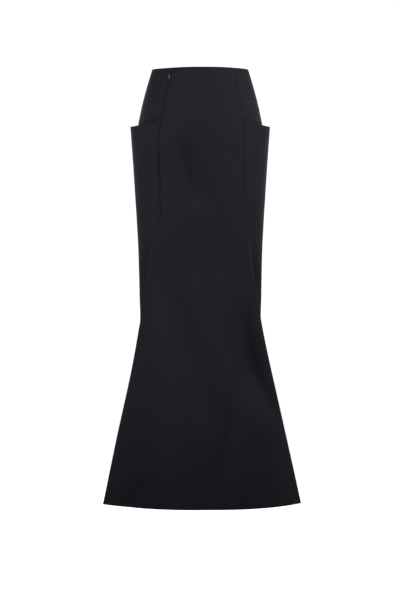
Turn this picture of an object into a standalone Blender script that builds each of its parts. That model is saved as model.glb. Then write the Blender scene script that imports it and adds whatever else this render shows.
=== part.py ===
"""A long column skirt, filled out as it is worn: close from the waist to the knee, flared below.

Six curved pieces of cloth make a ring: a front and a back panel between the princess seams, and on each hip a
yoke that goes down behind a side panel, whose top edge stands away from it as a pocket mouth. A concealed zip
with a small hanging tab closes the left front seam.

The origin is the middle of the waist edge. +Z is up, -Y is the front and +X is the right of someone who faces
the front. Sizes are in millimetres below, and become metres where a mesh is made.
"""

import math

import bmesh
import bpy
import numpy as np
from mathutils import Matrix, Vector

MM = 0.001

# Length and cloth
LENGTH = 1101.0
WALL = 1.5
SEAM_TRIM = 0.17
LAYER_GAP = 0.4

# How the ring lies at each drop below the waist. side: half of its width; front, back: depth in the middle of
# those panels; seam: half of the panels' width; front_edge, back_edge: depth at the princess seams.
COLUMNS = ("drop", "side", "front", "back", "seam", "front_edge", "back_edge")
SECTIONS = np.array((
    (0, 121.4, 88, 88, 78.6, 59, 64),
    (45, 134.8, 97, 101, 87.5, 68, 75),
    (90, 146.6, 104, 112, 95.2, 76, 84),
    (133, 155.6, 108, 119, 101.7, 80, 89),
    (178, 164.2, 110, 122, 107.5, 81, 91),
    (229, 166.0, 109, 122, 108.2, 81, 91),
    (330, 163.8, 104, 113, 104.6, 79, 86),
    (400, 159.4, 101, 105, 105.9, 74, 77),
    (450, 156.8, 99, 99, 115.5, 67, 67),
    (514, 155.0, 100, 98, 127.0, 58, 58),
    (575, 153.8, 105, 103, 139.5, 52, 54),
    (636, 152.6, 114, 113, 151.2, 47, 54),
    (694, 158.0, 126, 126, 162.6, 42, 57),
    (877, 190.0, 171, 176, 202.0, 29, 80),
    (LENGTH, 231.0, 225, 240, 250.8, 11, 118),
))
PANEL_POWER = 2.5

# Half width of the side panels where they stand away from the hips, down to the bottom of the pockets
POCKET_BOTTOM = 330.0
POUCH_COLUMNS = ("drop", "side")
POUCH = np.array((
    (130, 177.2),
    (147, 176.2),
    (206, 172.0),
    (270, 167.6),
    (POCKET_BOTTOM, 163.8),
    (369, 161.2),
    (400, 159.4),
))

# Pocket mouths: level over the middle MOUTH_FLAT share of the side, then up by MOUTH_RISE to the seams. The
# yoke sinks over MOUTH_STEP above them, and the side panel's rows are level again MOUTH_FADE below them.
MOUTH_DROP = 145.2
MOUTH_RISE = 13.0
MOUTH_FLAT = 0.3
MOUTH_POWER = 1.25
MOUTH_STEP = 9.0
MOUTH_CLEAR = 1.0
MOUTH_FADE = 60.0

# The front panel lies a little to the right at the waist. The flare hangs turned and swayed to the right, and
# the back panel is narrower there than the front one.
FRONT_SHIFT = 5.2
FRONT_SHIFT_FROM = 60.0
KNEE_DROP = 514.0
HEM_TURN = math.radians(4.2)
HEM_SWAY = 4.5
BACK_NARROWER = 0.05

# Soft troughs, which fade out at the seams. top, bottom: drops where one starts and ends; late: 1 if it is
# deepest at its middle, and more if it is deepest below that; from_x, to_x: where it lies there; bow: how far its
# middle lies to the right of a straight line; left_reach, right_reach: half of its width on each side.
FOLD_EDGE_POWER = 8
FOLD_COLUMNS = ("top", "bottom", "late", "from_x", "to_x", "bow", "left_reach", "right_reach", "depth")
FRONT_FOLDS = np.array((
    (172, 330, 1.0, -82, 8, 0, 26, 24, 9.0),
    (545, 880, 1.3, 98, 192, -4, 28, 17, 13.0),
    (470, 800, 1.0, -82, 20, 0, 45, 24, 6.0),
    (745, 1000, 1.0, 108, 44, 0, 20, 36, 4.5),
))
BACK_FOLDS = np.array((
    (188, 350, 1.0, 68, -18, -3, 24, 26, 6.5),
    (560, 860, 1.3, -100, -186, 5, 17, 28, 12.0),
    (480, 790, 1.0, 76, -10, 0, 24, 45, 5.5),
    (790, 1040, 1.0, -90, -38, 0, 36, 20, 4.0),
))

# Rows and columns of the meshes. The columns of a panel are those of a sine from -COLUMN_CROWD to COLUMN_CROWD,
# closer together near the seams, where the panel turns.
YOKE_ROWS = 7
POUCH_ROWS = 10
LOWER_ROWS = 22
PANEL_STEPS = 24
SIDE_STEPS = 14
COLUMN_CROWD = 1.2

# Zip: a tape behind the left front seam, a slider near the waist edge and a hanging tab
# TAPE_SHARES are how far out its columns lie on each side of the seam, as shares of the panel and of the yoke
TAPE_TOP = 1.0
TAPE_LENGTH = 210.0
TAPE_THICK = 1.0
TAPE_GAP = 0.5
TAPE_STEP = 18.0
TAPE_ROWS = 16
TAPE_SHARES = (0.12, 0.06)
SLIDER_DROP = 16.0
SLIDER_ASIDE = 1.8
SLIDER_WIDTH_TOP = 5.2
SLIDER_WIDTH_END = 3.6
SLIDER_TOP = -7.0
SLIDER_END = 2.2
SLIDER_CLEAR = 0.35
SLIDER_THICK = 1.0
SLIDER_CLIP = 0.8
BRIDGE_WIDTH = 1.4
BRIDGE_THICK = 0.7
BRIDGE_FROM = -2.2
BRIDGE_TO = 1.7
BRIDGE_SUNK = 0.4
BRIDGE_CLIP = 0.4
AXIS_ABOVE_SLIDER = 1.0
BRIDGE_ABOVE_AXIS = 0.95
TAB_LENGTH = 13.0
TAB_WIDTH = 3.8
TAB_NECK_WIDTH = 3.2
TAB_SWELL_END = 9.5
TAB_THICK = 0.7
TAB_BAR = 0.4
TAB_EYE_END = 2.8
TAB_EYE_WIDTH = 2.1
TAB_END_POWER = 0.6
TAB_SIDE_POWER = 0.45
TAB_EYE_POWER = 0.4
TAB_LEAN = math.radians(7.5)
TAB_POINTS = 32


def size(name, drop, table=SECTIONS, columns=COLUMNS):
    """One column of a table at any drop, on a smooth curve through its rows: cubics with shared slopes."""
    knots = table[:, 0]
    values = table[:, columns.index(name)]
    slopes = np.gradient(values, knots)
    row = np.clip(np.searchsorted(knots, drop, side="right") - 1, 0, len(knots) - 2)
    span = knots[row + 1] - knots[row]
    t = (drop - knots[row]) / span
    start = (1 + 2 * t) * (1 - t) ** 2 * values[row] + t * (1 - t) ** 2 * span * slopes[row]
    end = t ** 2 * (3 - 2 * t) * values[row + 1] - t ** 2 * (1 - t) * span * slopes[row + 1]
    return start + end


def ease(value, low, high):
    """0 below low, 1 above high, and a smooth S between them."""
    t = np.clip((value - low) / (high - low), 0, 1)
    return t * t * (3 - 2 * t)


def pouch_side(drop):
    """Half width of the side panels: their own above the pocket's bottom, the ring's below it."""
    own = size("side", np.clip(drop, POUCH[0, 0], POUCH[-1, 0]), POUCH, POUCH_COLUMNS)
    return np.where(drop < POUCH[-1, 0], own, size("side", drop))


def flare_growth(drop):
    """0 down to the knee, then growing to 1 at the hem."""
    return np.clip((drop - KNEE_DROP) / (LENGTH - KNEE_DROP), 0, 1) ** 1.5


def panel_sizes(drop, face):
    """A front (face -1) or back (face 1) panel: half width, x of its middle, depth there and at its seams."""
    seam = size("seam", drop)
    if face < 0:
        shift = FRONT_SHIFT * (1 - ease(drop, FRONT_SHIFT_FROM, KNEE_DROP))
        return seam, shift, size("front", drop), size("front_edge", drop)
    return seam * (1 - BACK_NARROWER * flare_growth(drop)), 0.0, size("back", drop), size("back_edge", drop)


def seam_point(drop, hand, face):
    """Where a princess seam lies. hand is 1 at the right and -1 at the left."""
    seam, shift, _, edge = panel_sizes(drop, face)
    return hand * seam + shift, face * edge


def panel_angle(drop, face):
    """How far a front or back panel has turned round towards the side when it reaches its seam."""
    seam, _, middle, edge = panel_sizes(drop, face)
    return np.arctan(PANEL_POWER * (middle - edge) / seam)


def side_middle(drop):
    return (size("back_edge", drop) - size("front_edge", drop)) / 2


def side_angle(drop, hand, face, width):
    """The angle at which a side panel leaves the seam: that of a round arc which ends facing straight out to
    the side, and never less than the panel's own angle. Where it is more, the seam is a folded edge."""
    x, y = seam_point(drop, hand, face)
    across = width - hand * x
    along = np.abs(side_middle(drop) - y)
    arc = 2 * np.arctan2(along, across) - math.pi / 2
    return np.maximum(arc, panel_angle(drop, face))


def panel_section(drop, share, face):
    """A front or back panel. At a share of the way from its middle to its seam its depth is
    edge + (middle - edge) * (1 - share ** PANEL_POWER)."""
    seam, shift, middle, edge = panel_sizes(drop, face)
    depth = edge + (middle - edge) * (1 - np.abs(share) ** PANEL_POWER)
    return seam * share + shift, face * depth


def side_half(drop, t, hand, face, width):
    """Half of a side panel, from its seam at t = 0 to the middle of the side at t = 1: a cubic Bezier arc whose
    handles are those of a round arc with the same chord and turn."""
    x, y = seam_point(drop, hand, face)
    angle = side_angle(drop, hand, face, width)
    across = width - hand * x
    along = np.abs(side_middle(drop) - y)
    handle = np.hypot(across, along) / (3 * np.cos((math.pi / 2 - angle) / 4) ** 2)
    near = 3 * t * (1 - t) ** 2
    far = 3 * t ** 2 * (1 - t)
    end = t ** 3
    out = near * handle * np.cos(angle) + far * across + end * across
    back = near * handle * np.sin(angle) + far * (along - handle) + end * along
    return x + hand * out, y - face * back


def side_section(drop, around, hand, width):
    """A side panel or yoke, from the front seam at around = -1 to the back seam at around = 1."""
    front_x, front_y = side_half(drop, np.clip(1 + around, 0, 1), hand, -1, width)
    back_x, back_y = side_half(drop, np.clip(1 - around, 0, 1), hand, 1, width)
    in_front = around < 0
    return np.where(in_front, front_x, back_x), np.where(in_front, front_y, back_y)


def outward(x, y, hand_of_travel):
    """Unit normals of section lines whose points run across the columns."""
    along_x = np.gradient(x, axis=1)
    along_y = np.gradient(y, axis=1)
    length = np.hypot(along_x, along_y)
    return hand_of_travel * along_y / length, -hand_of_travel * along_x / length


def seam_normal(drop, hand, face, width):
    """The direction that halves the angle between two pieces at their seam, long enough to keep both walls
    at their thickness."""
    panel = panel_angle(drop, face)
    side = side_angle(drop, hand, face, width)
    middle = (panel + side) / 2
    length = 1 / np.cos((side - panel) / 2)
    return hand * np.sin(middle) * length, face * np.cos(middle) * length


def fold_depth(x, drop, folds):
    """How deep the soft troughs are at a point of a panel: each is a round hollow across its line, which
    fades in and out along it."""
    depth = np.zeros(np.broadcast(x, drop).shape)
    for row in folds:
        fold = dict(zip(FOLD_COLUMNS, row))
        t = np.clip((drop - fold["top"]) / (fold["bottom"] - fold["top"]), 0, 1)
        line = fold["from_x"] + (fold["to_x"] - fold["from_x"]) * t + fold["bow"] * 4 * t * (1 - t)
        slope = (fold["to_x"] - fold["from_x"]) / (fold["bottom"] - fold["top"])
        away = (x - line) * math.cos(math.atan(slope))
        reach = np.where(away < 0, fold["left_reach"], fold["right_reach"])
        depth = depth + fold["depth"] * np.sin(math.pi * t ** fold["late"]) * np.exp(-(away / reach) ** 2)
    return depth


def hang(x, y, drop):
    """Points of flat sections as they hang: the flare turns about the upright and sways to the right."""
    turn = HEM_TURN * flare_growth(drop)
    sway = HEM_SWAY * (drop / LENGTH) ** 3
    turned_x = x * np.cos(turn) - y * np.sin(turn) + sway
    turned_y = x * np.sin(turn) + y * np.cos(turn)
    return np.stack(np.broadcast_arrays(turned_x, turned_y, -drop), axis=-1)


def row_drops():
    """Drops of the rows that all pieces share, so that they meet facet to facet along the seams."""
    seam_mouth = MOUTH_DROP - MOUTH_RISE
    yoke = np.linspace(0, seam_mouth - MOUTH_STEP, YOKE_ROWS)
    pouch = np.linspace(seam_mouth, POCKET_BOTTOM, POUCH_ROWS + 1)
    lower = np.linspace(POCKET_BOTTOM, LENGTH, LOWER_ROWS + 1)[1:]
    return np.concatenate((yoke, pouch, lower))


def new_material(name, colour, roughness, metallic):
    material = bpy.data.materials.new(name)
    material.use_nodes = True
    shader = material.node_tree.nodes["Principled BSDF"]
    shader.inputs["Base Color"].default_value = (*colour, 1.0)
    shader.inputs["Roughness"].default_value = roughness
    shader.inputs["Metallic"].default_value = metallic
    return material


def add_object(name, mesh, material):
    item = bpy.data.objects.new(name, mesh)
    bpy.context.scene.collection.objects.link(item)
    mesh.materials.append(material)
    mesh.shade_smooth()
    mesh.set_sharp_from_angle(angle=math.radians(40))
    return item


def wall_object(name, outer, inner, material):
    """One closed solid between two grids of points, in millimetres, with outer facing out."""
    rows, columns = outer.shape[:2]
    count = rows * columns
    points = np.concatenate((outer.reshape(-1, 3), inner.reshape(-1, 3))) * MM
    grid = np.arange(count).reshape(rows, columns)
    faces = []

    def strip(a, b, c, d):
        faces.extend(np.stack((a, b, c, d), axis=-1).reshape(-1, 4).tolist())

    strip(grid[:-1, :-1], grid[1:, :-1], grid[1:, 1:], grid[:-1, 1:])
    under = grid + count
    strip(under[:-1, :-1], under[:-1, 1:], under[1:, 1:], under[1:, :-1])
    rim = np.concatenate((grid[0, :-1], grid[:-1, -1], grid[-1, :0:-1], grid[:0:-1, 0]))
    following = np.roll(rim, -1)
    strip(rim, following, following + count, rim + count)
    mesh = bpy.data.meshes.new(name)
    mesh.from_pydata(points.tolist(), [], faces)
    mesh.update()
    solid = bmesh.new()
    solid.from_mesh(mesh)
    bmesh.ops.recalc_face_normals(solid, faces=solid.faces)
    solid.to_mesh(mesh)
    solid.free()
    return add_object(name, mesh, material)


def trim_edges(x, y):
    """Moves the two seam edges of a piece in by SEAM_TRIM, which leaves the gap of the seam."""
    for edge, inside in ((0, 1), (-1, -2)):
        run_x = x[:, inside] - x[:, edge]
        run_y = y[:, inside] - y[:, edge]
        length = np.hypot(run_x, run_y)
        x[:, edge] += SEAM_TRIM * run_x / length
        y[:, edge] += SEAM_TRIM * run_y / length


def panel_object(name, face, folds, material):
    """The front or back panel, from the left seam to the right one."""
    drop = row_drops()[:, None]
    share = np.sin(np.linspace(-COLUMN_CROWD, COLUMN_CROWD, PANEL_STEPS + 1)[None, :]) / math.sin(COLUMN_CROWD)
    x, y = panel_section(drop, share, face)
    normal_x, normal_y = outward(x, y, -face)
    width = pouch_side(drop)
    for edge, hand in ((0, -1), (-1, 1)):
        edge_x, edge_y = seam_normal(drop, hand, face, width)
        normal_x[:, edge] = edge_x[:, 0]
        normal_y[:, edge] = edge_y[:, 0]
    sunk = fold_depth(x, drop, folds) * (1 - np.abs(share) ** FOLD_EDGE_POWER)
    x = x - normal_x * sunk
    y = y - normal_y * sunk
    trim_edges(x, y)
    outer = hang(x, y, drop)
    inner = hang(x - normal_x * WALL, y - normal_y * WALL, drop)
    return wall_object(name, outer, inner, material)


def side_columns():
    return np.linspace(-1, 1, SIDE_STEPS + 1)[None, :]


def mouth_drop(around):
    rise = np.clip((np.abs(around) - MOUTH_FLAT) / (1 - MOUTH_FLAT), 0, 1)
    return MOUTH_DROP - MOUTH_RISE * rise ** MOUTH_POWER


def side_wall(name, drop, around, hand, width, sunk, material):
    """A side panel or yoke as a wall, with its outer face sunk by a depth at each point."""
    x, y = side_section(drop, around, hand, width)
    normal_x, normal_y = outward(x, y, hand)
    for edge, face in ((0, -1), (-1, 1)):
        edge_x, edge_y = seam_normal(drop[:, [edge]], hand, face, width[:, [edge]])
        normal_x[:, edge] = edge_x[:, 0]
        normal_y[:, edge] = edge_y[:, 0]
    trim_edges(x, y)
    outer = hang(x - normal_x * sunk, y - normal_y * sunk, drop)
    inner_sunk = sunk + WALL
    inner = hang(x - normal_x * inner_sunk, y - normal_y * inner_sunk, drop)
    return wall_object(name, outer, inner, material)


def side_panel_object(name, hand, material):
    """A side panel from its pocket mouth to the hem. Its first rows follow the mouth's curve."""
    around = side_columns()
    rows = row_drops()[YOKE_ROWS:, None]
    fade = 1 - ease(rows, rows[0], rows[0] + MOUTH_FADE)
    drop = rows + (mouth_drop(around) - rows[0]) * fade
    return side_wall(name, drop, around, hand, pouch_side(drop), np.zeros(drop.shape), material)


def yoke_object(name, hand, material):
    """A hip yoke from the waist to the pocket's bottom. From just above the mouth it lies a layer deeper, so
    that it passes behind the side panel."""
    around = side_columns()
    rows = row_drops()[:YOKE_ROWS + POUCH_ROWS + 1, None]
    drop = rows + np.zeros(around.shape)
    mouth = mouth_drop(around)
    sunk = (WALL + LAYER_GAP) * ease(drop, mouth - MOUTH_STEP, mouth - MOUTH_CLEAR)
    return side_wall(name, drop, around, hand, size("side", drop), sunk, material)


def tape_section(drop):
    """Points and normals of the cloth across the zip's seam, from the front panel to the yoke."""
    shares = np.array(TAPE_SHARES)
    front_x, front_y = panel_section(drop, -(1 - shares[::-1])[None, :], -1)
    side_shares = np.concatenate(((0.0,), shares[::-1]))[None, :]
    side_x, side_y = side_half(drop, side_shares, -1, -1, size("side", drop))
    x = np.concatenate((front_x[:, ::-1], side_x), axis=1)
    y = np.concatenate((front_y[:, ::-1], side_y), axis=1)
    return x, y


def tape_object(material):
    """The zip's tapes and coil as one strip behind the left front seam, a layer deeper below the mouth."""
    drop = np.linspace(TAPE_TOP, TAPE_LENGTH, TAPE_ROWS + 1)[:, None]
    x, y = tape_section(drop)
    normal_x, normal_y = outward(x, y, -1)
    step = MOUTH_DROP - MOUTH_RISE - MOUTH_STEP
    depth = WALL + TAPE_GAP + (WALL + LAYER_GAP) * ease(drop, step - TAPE_STEP, step)
    outer = hang(x - normal_x * depth, y - normal_y * depth, drop)
    depth = depth + TAPE_THICK
    inner = hang(x - normal_x * depth, y - normal_y * depth, drop)
    return wall_object("zip_tape", outer, inner, material)


def slider_frame():
    """The zip's own axes on the cloth at the slider: X across the seam, Y up along it and Z out of the cloth,
    with the origin on the cloth's face."""
    drops = np.array((SLIDER_DROP - 2, SLIDER_DROP, SLIDER_DROP + 2))
    x, y = seam_point(drops, -1, -1)
    points = hang(x, y, drops)
    up = Vector(points[0] - points[2]).normalized()
    angle = float(panel_angle(np.array([SLIDER_DROP]), -1)[0])
    out = Vector((-math.sin(angle), -math.cos(angle), 0))
    out = (out - up * out.dot(up)).normalized()
    across = up.cross(out)
    frame = Matrix((across, up, out)).transposed().to_4x4()
    frame.translation = (Vector(points[1]) + across * SLIDER_ASIDE) * MM
    return frame


def prism(name, outline, low, high, material):
    """A flat outline, as pairs in millimetres, pulled up from low to high."""
    solid = bmesh.new()
    ring = [solid.verts.new((u * MM, v * MM, low * MM)) for u, v in outline]
    face = solid.faces.new(ring)
    pulled = bmesh.ops.extrude_face_region(solid, geom=[face])
    moved = [item for item in pulled["geom"] if isinstance(item, bmesh.types.BMVert)]
    bmesh.ops.translate(solid, verts=moved, vec=(0, 0, (high - low) * MM))
    bmesh.ops.recalc_face_normals(solid, faces=solid.faces)
    mesh = bpy.data.meshes.new(name)
    solid.to_mesh(mesh)
    solid.free()
    return add_object(name, mesh, material)


def slider_outline():
    """The slider's body from above: wide at the top, narrow at the end, with clipped corners."""
    top = SLIDER_WIDTH_TOP / 2
    end = SLIDER_WIDTH_END / 2
    clip = SLIDER_CLIP
    return (
        (-top + clip, -SLIDER_TOP), (-top, -SLIDER_TOP - clip), (-end, -SLIDER_END + clip),
        (-end + clip, -SLIDER_END), (end - clip, -SLIDER_END), (end, -SLIDER_END + clip),
        (top, -SLIDER_TOP - clip), (top - clip, -SLIDER_TOP),
    )


def bridge_outline():
    """The bridge from the side: an arch over the tab's bar, with its feet a little way into the body."""
    foot = SLIDER_CLEAR + SLIDER_THICK - BRIDGE_SUNK
    under = SLIDER_CLEAR + SLIDER_THICK + AXIS_ABOVE_SLIDER + BRIDGE_ABOVE_AXIS
    top = under + BRIDGE_THICK
    near = BRIDGE_TO - BRIDGE_THICK
    far = BRIDGE_FROM + BRIDGE_THICK
    clip = BRIDGE_CLIP
    return (
        (-BRIDGE_FROM, foot), (-BRIDGE_FROM, top - clip), (-BRIDGE_FROM - clip, top),
        (-BRIDGE_TO + clip, top), (-BRIDGE_TO, top - clip), (-BRIDGE_TO, foot),
        (-near, foot), (-near, under), (-far, under), (-far, foot),
    )


def slider_object(frame, material):
    """The slider's body with its bridge, joined into one solid."""
    low = SLIDER_CLEAR
    body = prism("zip_slider", slider_outline(), low, low + SLIDER_THICK, material)
    bridge = prism("zip_bridge", bridge_outline(), -BRIDGE_WIDTH / 2, BRIDGE_WIDTH / 2, material)
    bridge.hide_render = True
    bridge.display_type = "WIRE"
    body.matrix_world = frame
    stand = Matrix(((0, 0, 1), (1, 0, 0), (0, 1, 0))).to_4x4()
    bridge.matrix_world = frame @ stand
    join = body.modifiers.new("bridge", "BOOLEAN")
    join.operation = "UNION"
    join.solver = "EXACT"
    join.object = bridge
    return body


def squared(wave, power):
    """A sine or cosine pushed out towards -1 and 1, which turns a circle into a rounded block."""
    return np.sign(wave) * np.abs(wave) ** power


def tab_rings():
    """The tab's outline and its eye, as two rings with the same number of points. The outline swells from the
    neck's width at the eye to the tab's own near its end."""
    turn = np.linspace(0, 2 * math.pi, TAB_POINTS, endpoint=False)
    middle = (TAB_LENGTH - TAB_BAR) / 2
    half_length = (TAB_LENGTH + TAB_BAR) / 2
    along = middle + half_length * squared(np.cos(turn), TAB_END_POWER)
    swell = ease(along, TAB_EYE_END, TAB_SWELL_END)
    half = (TAB_NECK_WIDTH + (TAB_WIDTH - TAB_NECK_WIDTH) * swell) / 2
    across = half * squared(np.sin(turn), TAB_SIDE_POWER)
    eye_middle = (TAB_EYE_END + TAB_BAR) / 2
    eye_half = (TAB_EYE_END - TAB_BAR) / 2
    eye_along = eye_middle + eye_half * squared(np.cos(turn), TAB_EYE_POWER)
    eye_across = TAB_EYE_WIDTH / 2 * squared(np.sin(turn), TAB_EYE_POWER)
    return np.stack((across, -along), axis=-1), np.stack((eye_across, -eye_along), axis=-1)


def tab_object(frame, material):
    """The teardrop tab. Its origin is on the axis through its bar, and it leans in to rest on the cloth."""
    outline, eye = tab_rings()
    half = TAB_THICK / 2
    points = []
    for ring, height in ((outline, half), (eye, half), (eye, -half), (outline, -half)):
        points.extend((u * MM, v * MM, height * MM) for u, v in ring)
    faces = []
    for ring in range(4):
        start = ring * TAB_POINTS
        following = (ring + 1) % 4 * TAB_POINTS
        for step in range(TAB_POINTS):
            after = (step + 1) % TAB_POINTS
            faces.append((start + step, start + after, following + after, following + step))
    mesh = bpy.data.meshes.new("zip_tab")
    mesh.from_pydata(points, [], faces)
    solid = bmesh.new()
    solid.from_mesh(mesh)
    bmesh.ops.recalc_face_normals(solid, faces=solid.faces)
    solid.to_mesh(mesh)
    solid.free()
    tab = add_object("zip_tab", mesh, material)
    height = (SLIDER_CLEAR + SLIDER_THICK + AXIS_ABOVE_SLIDER) * MM
    tab.matrix_world = frame @ Matrix.Translation((0, 0, height)) @ Matrix.Rotation(TAB_LEAN, 4, "X")
    return tab


def main():
    for item in list(bpy.data.objects):
        bpy.data.objects.remove(item, do_unlink=True)
    cloth = new_material("blue_black_cloth", (0.015, 0.016, 0.021), 0.85, 0.0)
    tape = new_material("black_zip_tape", (0.010, 0.010, 0.012), 0.8, 0.0)
    slider_metal = new_material("dark_slider_enamel", (0.02, 0.02, 0.025), 0.4, 0.5)
    tab_metal = new_material("pale_tab_metal", (0.62, 0.62, 0.63), 0.3, 1.0)
    panel_object("front_panel", -1, FRONT_FOLDS, cloth)
    panel_object("back_panel", 1, BACK_FOLDS, cloth)
    for label, hand in (("left", -1), ("right", 1)):
        side_panel_object("side_panel_" + label, hand, cloth)
        yoke_object("hip_yoke_" + label, hand, cloth)
    tape_object(tape)
    frame = slider_frame()
    slider_object(frame, slider_metal)
    tab_object(frame, tab_metal)


main()
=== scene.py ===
# %% [markdown]
# # A column skirt in blue-black suiting
#
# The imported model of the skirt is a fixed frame: it says where each piece of cloth is, to the millimetre.
# This lesson dresses it. Every plain wall of cloth is replaced by a finer shell on the same form, with rolled
# seams, turned edges and soft folds, and the small hard parts of the zip keep their shape and get a finish.

# %% Load the frame
import math

import bpy
import numpy as np
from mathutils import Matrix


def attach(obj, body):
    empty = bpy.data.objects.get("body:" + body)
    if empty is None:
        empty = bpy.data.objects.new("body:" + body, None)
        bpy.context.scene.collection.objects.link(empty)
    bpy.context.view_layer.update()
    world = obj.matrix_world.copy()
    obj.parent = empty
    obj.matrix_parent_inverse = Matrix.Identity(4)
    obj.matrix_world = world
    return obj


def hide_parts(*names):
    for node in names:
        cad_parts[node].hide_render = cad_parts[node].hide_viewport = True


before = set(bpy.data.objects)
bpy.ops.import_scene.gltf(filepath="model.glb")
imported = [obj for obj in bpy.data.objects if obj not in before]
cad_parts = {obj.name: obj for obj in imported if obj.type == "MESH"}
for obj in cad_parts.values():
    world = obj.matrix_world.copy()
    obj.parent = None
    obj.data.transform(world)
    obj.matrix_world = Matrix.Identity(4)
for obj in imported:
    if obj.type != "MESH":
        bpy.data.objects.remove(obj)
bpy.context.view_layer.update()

print("nodes:", sorted(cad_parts))

# %% [markdown]
# ## The camera
#
# The photograph was taken from far away with a long lens, level with the middle of the skirt: the waist and
# the hem both curve, the waist upwards and the hem downwards, which only happens when the eye is between
# them. A camera on an empty sky is placed by three numbers: how far away it is, how high it is and how long
# its lens is.

# %% Camera
CAMERA_AWAY = 6.8
CAMERA_RIGHT = -0.0005
CAMERA_HEIGHT = -0.5847
LENS_MM = 160.75
SENSOR_MM = 36.0
SEES_TO = 60.0
LEVEL = math.radians(90)


def add_object(name, data):
    """An object for a mesh, a camera or a lamp, put into the scene at the origin."""
    item = bpy.data.objects.new(name, data)
    bpy.context.scene.collection.objects.link(item)
    return item


camera = bpy.data.cameras.new("camera")
camera.lens = LENS_MM
camera.sensor_width = SENSOR_MM
camera.clip_end = SEES_TO
camera_object = add_object("camera", camera)
camera_object.location = (CAMERA_RIGHT, -CAMERA_AWAY, CAMERA_HEIGHT)
camera_object.rotation_euler = (LEVEL, 0, 0)
bpy.context.scene.camera = camera_object
print("camera", CAMERA_AWAY, "m in front, lens", LENS_MM, "mm")

# %% [markdown]
# ## How the ring of cloth lies
#
# At each drop below the waist the skirt is one closed ring, drawn by a few sizes: how wide it is, how deep
# the middle of the front and back panels lie, and where the four princess seams are. The frame's own mesh
# could be subdivided instead, but its points are 20 to 40 millimetres apart and know nothing of seams. So a
# table gives the sizes at a few drops, and a smooth curve through its rows gives them anywhere. Everything
# that follows is in millimetres, and becomes metres where a mesh is made.

# %% Sizes of the ring
MM = 0.001
LENGTH = 1101.0
HIP_DROP = 206.0
KNEE_DROP = 514.0

RING_COLUMNS = ("drop", "side", "front", "back", "seam", "front_edge", "back_edge")
RING = np.array((
    (0, 122.1, 88, 88, 78.6, 59, 64),
    (45, 135.6, 97, 101, 87.5, 68, 75),
    (90, 147.5, 104, 112, 95.2, 76, 84),
    (133, 156.5, 108, 119, 102.2, 80, 89),
    (178, 165.2, 110, 122, 108.1, 81, 91),
    (229, 167.0, 109, 122, 108.0, 81, 91),
    (330, 164.8, 104, 113, 104.0, 79, 86),
    (400, 160.4, 101, 105, 105.5, 74, 77),
    (450, 157.7, 99, 99, 115.5, 67, 67),
    (KNEE_DROP, 155.9, 100, 98, 127.4, 58, 58),
    (575, 154.7, 105, 103, 140.2, 52, 54),
    (636, 153.5, 114, 113, 152.1, 47, 54),
    (694, 158.9, 126, 126, 163.6, 42, 57),
    (877, 191.1, 171, 176, 203.2, 29, 80),
    (LENGTH, 232.4, 225, 240, 252.3, 11, 118),
))

POCKET_BOTTOM = 330.0
POUCH_COLUMNS = ("drop", "side")
POUCH = np.array((
    (130, 178.3),
    (147, 177.3),
    (HIP_DROP, 173.0),
    (270, 168.6),
    (POCKET_BOTTOM, 164.8),
    (369, 162.2),
    (400, 160.4),
))

FLARE_POWER = 1.5


def size(name, drop, table=RING, columns=RING_COLUMNS):
    """One column of a table at any drop: cubics through its rows, with one slope where two meet."""
    knots = table[:, 0]
    values = table[:, columns.index(name)]
    slopes = np.gradient(values, knots)
    row = np.clip(np.searchsorted(knots, drop, side="right") - 1, 0, len(knots) - 2)
    span = knots[row + 1] - knots[row]
    t = (drop - knots[row]) / span
    start = (1 + 2 * t) * (1 - t) ** 2 * values[row] + t * (1 - t) ** 2 * span * slopes[row]
    end = t ** 2 * (3 - 2 * t) * values[row + 1] - t ** 2 * (1 - t) * span * slopes[row + 1]
    return start + end


def ease(value, low, high):
    """0 below low, 1 above high, and between them 3 t squared less 2 t cubed, a smooth S."""
    t = np.clip((value - low) / (high - low), 0, 1)
    return t * t * (3 - 2 * t)


def pouch_side(drop):
    """Half width of the side panels: their own to a little below the pocket, and the ring's from there."""
    own = size("side", np.clip(drop, POUCH[0, 0], POUCH[-1, 0]), POUCH, POUCH_COLUMNS)
    return np.where(drop < POUCH[-1, 0], own, size("side", drop))


def flare_growth(drop):
    """0 down to the knee, then the share of the flare that is passed, to the power FLARE_POWER."""
    return np.clip((drop - KNEE_DROP) / (LENGTH - KNEE_DROP), 0, 1) ** FLARE_POWER


for drop in (0.0, HIP_DROP, KNEE_DROP, LENGTH):
    print("drop", drop, "half width", round(float(pouch_side(np.array(drop))), 1), "mm")

# %% [markdown]
# ## Sections of the panels
#
# A front or back panel is a low arch between its two seams: flat in the middle and turning near the seams,
# which a power of the share across gives. The front one lies a few millimetres to the right at the waist and
# the hips, as in the photograph, and the back one is a little narrower in the flare.

# %% Sections of the panels
PANEL_POWER = 2.5
BACK_NARROWER = 0.05
FRONT_SHIFT_WAIST = 5.2
FRONT_SHIFT_HIPS = 2.4
SHIFT_CHANGES = (60.0, 190.0)
SHIFT_ENDS = (400.0, KNEE_DROP)


def panel_sizes(drop, face):
    """A front (face -1) or back (face 1) panel: half width, x of its middle, depth there and at its seams."""
    seam = size("seam", drop)
    if face < 0:
        shift = FRONT_SHIFT_WAIST + (FRONT_SHIFT_HIPS - FRONT_SHIFT_WAIST) * ease(drop, *SHIFT_CHANGES)
        shift = shift * (1 - ease(drop, *SHIFT_ENDS))
        return seam, shift, size("front", drop), size("front_edge", drop)
    narrower = 1 - BACK_NARROWER * flare_growth(drop)
    return seam * narrower, 0.0, size("back", drop), size("back_edge", drop)


def panel_angle(drop, face):
    """How far a panel has turned towards the side at its seam: atan(PANEL_POWER * (middle - edge) / seam)."""
    seam, _, middle, edge = panel_sizes(drop, face)
    return np.arctan(PANEL_POWER * (middle - edge) / seam)


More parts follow.
